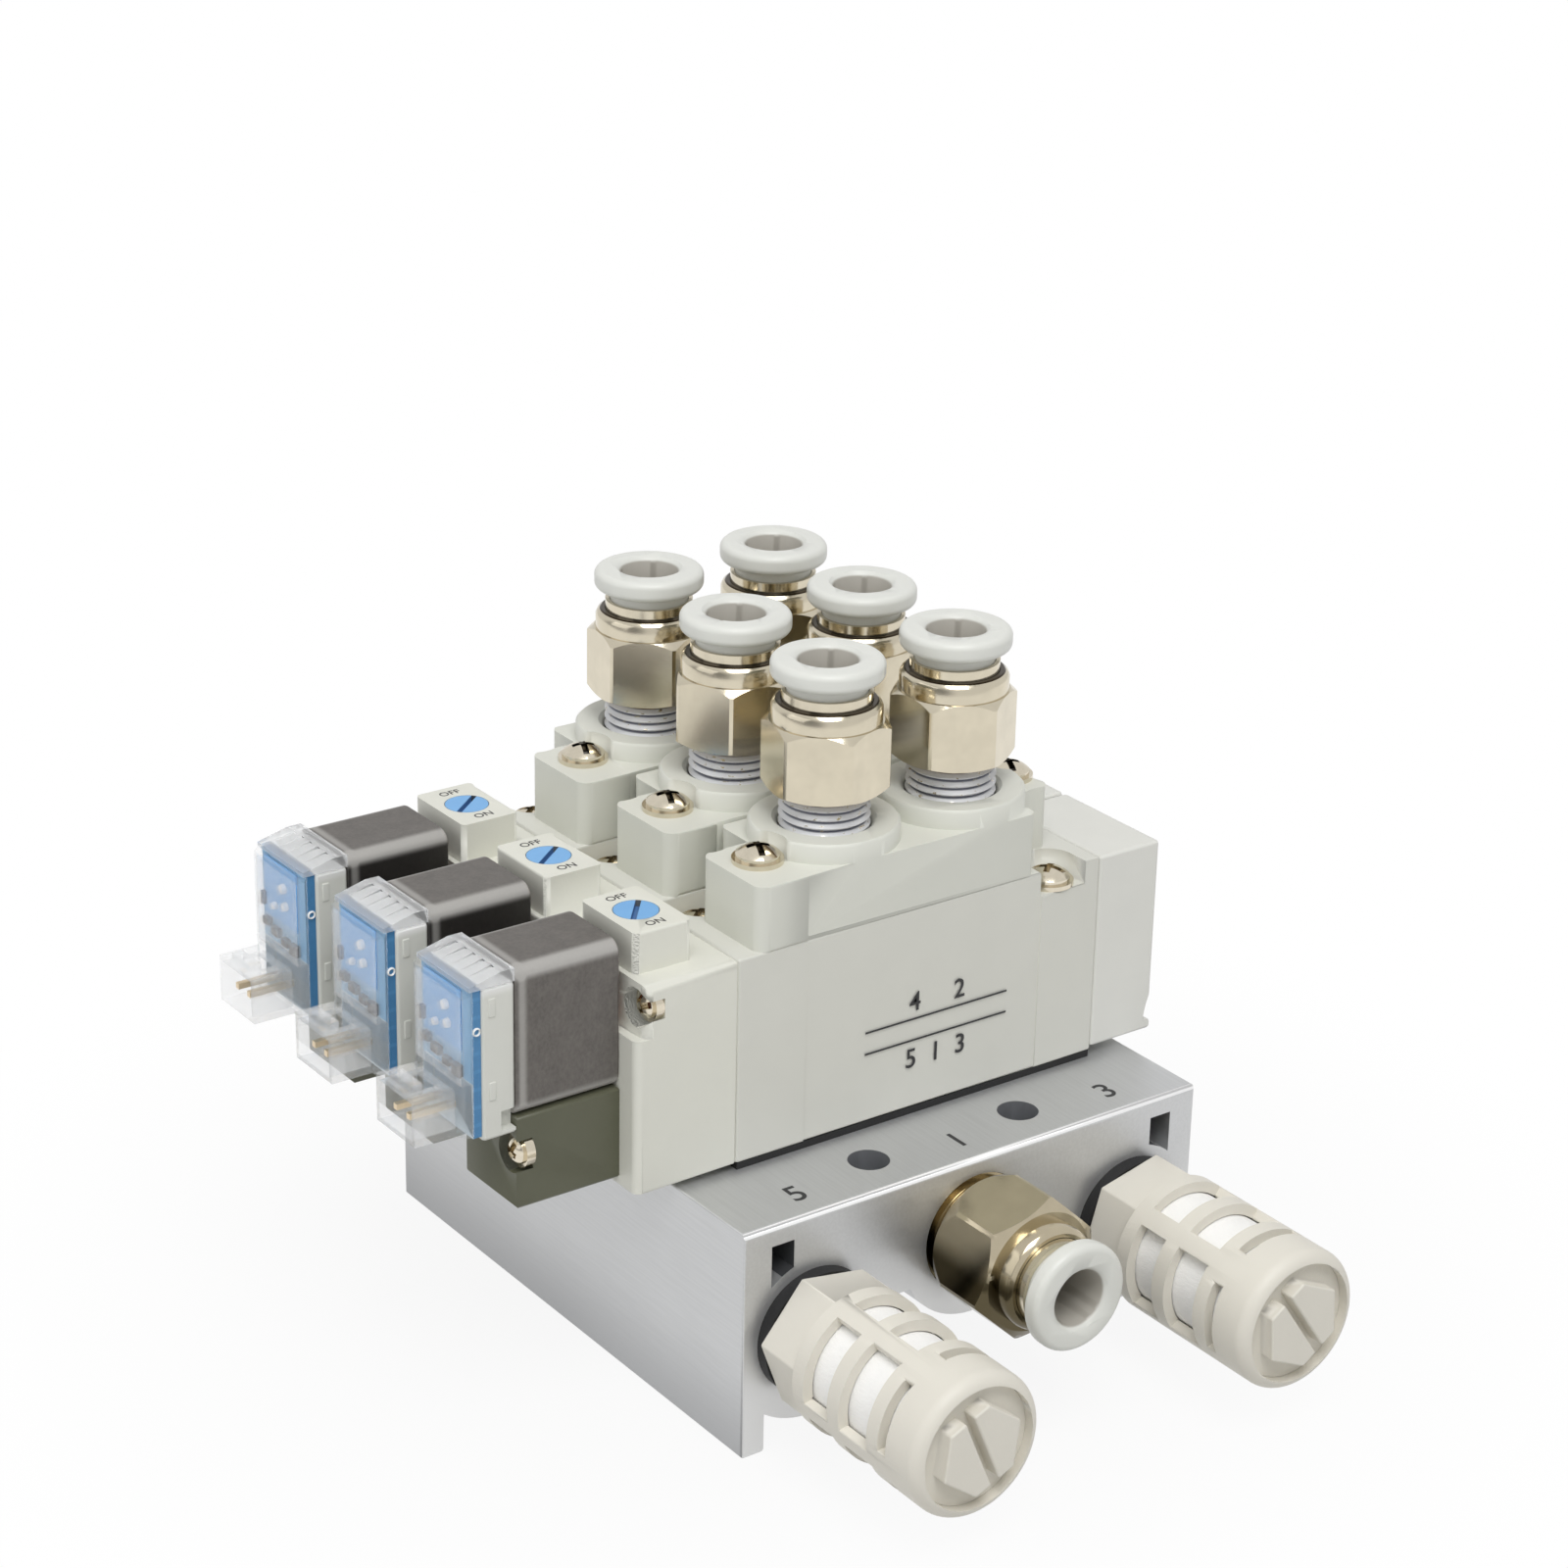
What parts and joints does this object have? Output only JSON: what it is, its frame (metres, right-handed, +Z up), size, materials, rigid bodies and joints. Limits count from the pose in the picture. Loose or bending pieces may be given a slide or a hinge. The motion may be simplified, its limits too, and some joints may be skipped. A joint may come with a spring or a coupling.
{
  "type": "solenoid valve manifold",
  "caption": "Pilot-operated solenoid valves side by side on an extruded aluminium bar, with push-in tube fittings on top and a supply fitting between exhaust silencers.",
  "frame": {"origin": "middle of the four mounting holes, on the top face of the bar", "axes": "+Z up, +X along the bar towards its port end, +Y along the valves from solenoid to end cap"},
  "size_m": [0.0961, 0.0918, 0.0771],
  "materials": {
    "bar_aluminium": "extruded, brushed and anodised",
    "valve_grey": "die cast, painted light grey",
    "block_grey": "die cast, painted light grey",
    "ivory_plastic": "moulded",
    "cap_plastic": "moulded",
    "cover_grey": "dark grey",
    "olive_plastic": "moulded",
    "board_blue": "printed board with pins",
    "knob_blue": "moulded",
    "clear_plastic": "clear",
    "silencer_plastic": "moulded, off-white",
    "fibre_white": "felted fibre",
    "nickel_brass": "nickel plated",
    "collar_white": "moulded",
    "rubber_black": "matt",
    "screw_steel": "plated",
    "plain_steel": "turned",
    "copper": "wound copper"
  },
  "bodies": {
    "manifold": {"manifold_base": "bar_aluminium", "gaskets": "rubber_black", "port_seals": "rubber_black", "valve_screws": "screw_steel", "pilot_screws": "screw_steel", "gallery_plugs": "plain_steel", "supply_fitting": "nickel_brass", "supply_sleeve": "nickel_brass", "silencer_bodies": "silencer_plastic", "silencer_elements": "fibre_white", "silencer_caps": "silencer_plastic", "port_washers": "rubber_black", "tube_fittings": "nickel_brass", "fitting_sleeves": "nickel_brass", "coils": "copper", "end_caps": "cap_plastic", "pilot_bases": "olive_plastic", "valve_body_1": "valve_grey", "port_block_1": "block_grey", "pilot_housing_1": "ivory_plastic", "coil_cover_1": "cover_grey", "connector_frame_1": "ivory_plastic", "clear_cover_1": "clear_plastic", "circuit_board_1": "board_blue", "valve_body_2": "valve_grey", "port_block_2": "block_grey", "pilot_housing_2": "ivory_plastic", "coil_cover_2": "cover_grey", "connector_frame_2": "ivory_plastic", "clear_cover_2": "clear_plastic", "circuit_board_2": "board_blue", "valve_body_3": "valve_grey", "port_block_3": "block_grey", "pilot_housing_3": "ivory_plastic", "coil_cover_3": "cover_grey", "connector_frame_3": "ivory_plastic", "clear_cover_3": "clear_plastic", "circuit_board_3": "board_blue"},
    "supply_collar": {"supply_collar": "collar_white"},
    "override_knob_1": {"override_knob_1": "knob_blue"},
    "override_pin_1": {"override_pin_1": "plain_steel"},
    "spool_1": {"spool_1": "plain_steel"},
    "armature_1": {"armature_1": "plain_steel"},
    "collar_a_1": {"collar_a_1": "collar_white"},
    "collar_b_1": {"collar_b_1": "collar_white"},
    "override_knob_2": {"override_knob_2": "knob_blue"},
    "override_pin_2": {"override_pin_2": "plain_steel"},
    "spool_2": {"spool_2": "plain_steel"},
    "armature_2": {"armature_2": "plain_steel"},
    "collar_a_2": {"collar_a_2": "collar_white"},
    "collar_b_2": {"collar_b_2": "collar_white"},
    "override_knob_3": {"override_knob_3": "knob_blue"},
    "override_pin_3": {"override_pin_3": "plain_steel"},
    "spool_3": {"spool_3": "plain_steel"},
    "armature_3": {"armature_3": "plain_steel"},
    "collar_a_3": {"collar_a_3": "collar_white"},
    "collar_b_3": {"collar_b_3": "collar_white"}
  },
  "joints": [
    {"name": "supply_collar_push", "type": "slide", "parent": "manifold", "child": "supply_collar", "axis": [-1, 0, 0], "range_m": [0, 0.001], "stiffness_N_per_m": 300, "springref_m": -0.001},
    {"name": "collar_a_1_push", "type": "slide", "parent": "manifold", "child": "collar_a_1", "axis": [0, 0, -1], "range_m": [0, 0.001], "stiffness_N_per_m": 300, "springref_m": -0.001},
    {"name": "collar_b_1_push", "type": "slide", "parent": "manifold", "child": "collar_b_1", "axis": [0, 0, -1], "range_m": [0, 0.001], "stiffness_N_per_m": 300, "springref_m": -0.001},
    {"name": "override_1_push", "type": "slide", "parent": "manifold", "child": "override_pin_1", "axis": [0, 0, -1], "range_m": [0, 0.0012], "stiffness_N_per_m": 300, "springref_m": -0.002},
    {"name": "override_1_turn", "type": "hinge", "parent": "override_pin_1", "child": "override_knob_1", "pos_m": [0.01545, -0.0301, 0.0284], "axis": [0, 0, -1], "range_deg": [0, 90]},
    {"name": "spool_1_shift", "type": "slide", "parent": "manifold", "child": "spool_1", "axis": [0, 1, 0], "range_m": [0, 0.0022], "stiffness_N_per_m": 1500, "springref_m": -0.002},
    {"name": "armature_1_pull", "type": "slide", "parent": "manifold", "child": "armature_1", "axis": [0, -1, 0], "range_m": [0, 0.0005], "stiffness_N_per_m": 800, "springref_m": -0.001},
    {"name": "collar_a_2_push", "type": "slide", "parent": "manifold", "child": "collar_a_2", "axis": [0, 0, -1], "range_m": [0, 0.001], "stiffness_N_per_m": 300, "springref_m": -0.001},
    {"name": "collar_b_2_push", "type": "slide", "parent": "manifold", "child": "collar_b_2", "axis": [0, 0, -1], "range_m": [0, 0.001], "stiffness_N_per_m": 300, "springref_m": -0.001},
    {"name": "override_2_push", "type": "slide", "parent": "manifold", "child": "override_pin_2", "axis": [0, 0, -1], "range_m": [0, 0.0012], "stiffness_N_per_m": 300, "springref_m": -0.002},
    {"name": "override_2_turn", "type": "hinge", "parent": "override_pin_2", "child": "override_knob_2", "pos_m": [-0.00105, -0.0301, 0.0284], "axis": [0, 0, -1], "range_deg": [0, 90]},
    {"name": "spool_2_shift", "type": "slide", "parent": "manifold", "child": "spool_2", "axis": [0, 1, 0], "range_m": [0, 0.0022], "stiffness_N_per_m": 1500, "springref_m": -0.002},
    {"name": "armature_2_pull", "type": "slide", "parent": "manifold", "child": "armature_2", "axis": [0, -1, 0], "range_m": [0, 0.0005], "stiffness_N_per_m": 800, "springref_m": -0.001},
    {"name": "collar_a_3_push", "type": "slide", "parent": "manifold", "child": "collar_a_3", "axis": [0, 0, -1], "range_m": [0, 0.001], "stiffness_N_per_m": 300, "springref_m": -0.001},
    {"name": "collar_b_3_push", "type": "slide", "parent": "manifold", "child": "collar_b_3", "axis": [0, 0, -1], "range_m": [0, 0.001], "stiffness_N_per_m": 300, "springref_m": -0.001},
    {"name": "override_3_push", "type": "slide", "parent": "manifold", "child": "override_pin_3", "axis": [0, 0, -1], "range_m": [0, 0.0012], "stiffness_N_per_m": 300, "springref_m": -0.002},
    {"name": "override_3_turn", "type": "hinge", "parent": "override_pin_3", "child": "override_knob_3", "pos_m": [-0.01755, -0.0301, 0.0284], "axis": [0, 0, -1], "range_deg": [0, 90]},
    {"name": "spool_3_shift", "type": "slide", "parent": "manifold", "child": "spool_3", "axis": [0, 1, 0], "range_m": [0, 0.0022], "stiffness_N_per_m": 1500, "springref_m": -0.002},
    {"name": "armature_3_pull", "type": "slide", "parent": "manifold", "child": "armature_3", "axis": [0, -1, 0], "range_m": [0, 0.0005], "stiffness_N_per_m": 800, "springref_m": -0.001}
  ]
}
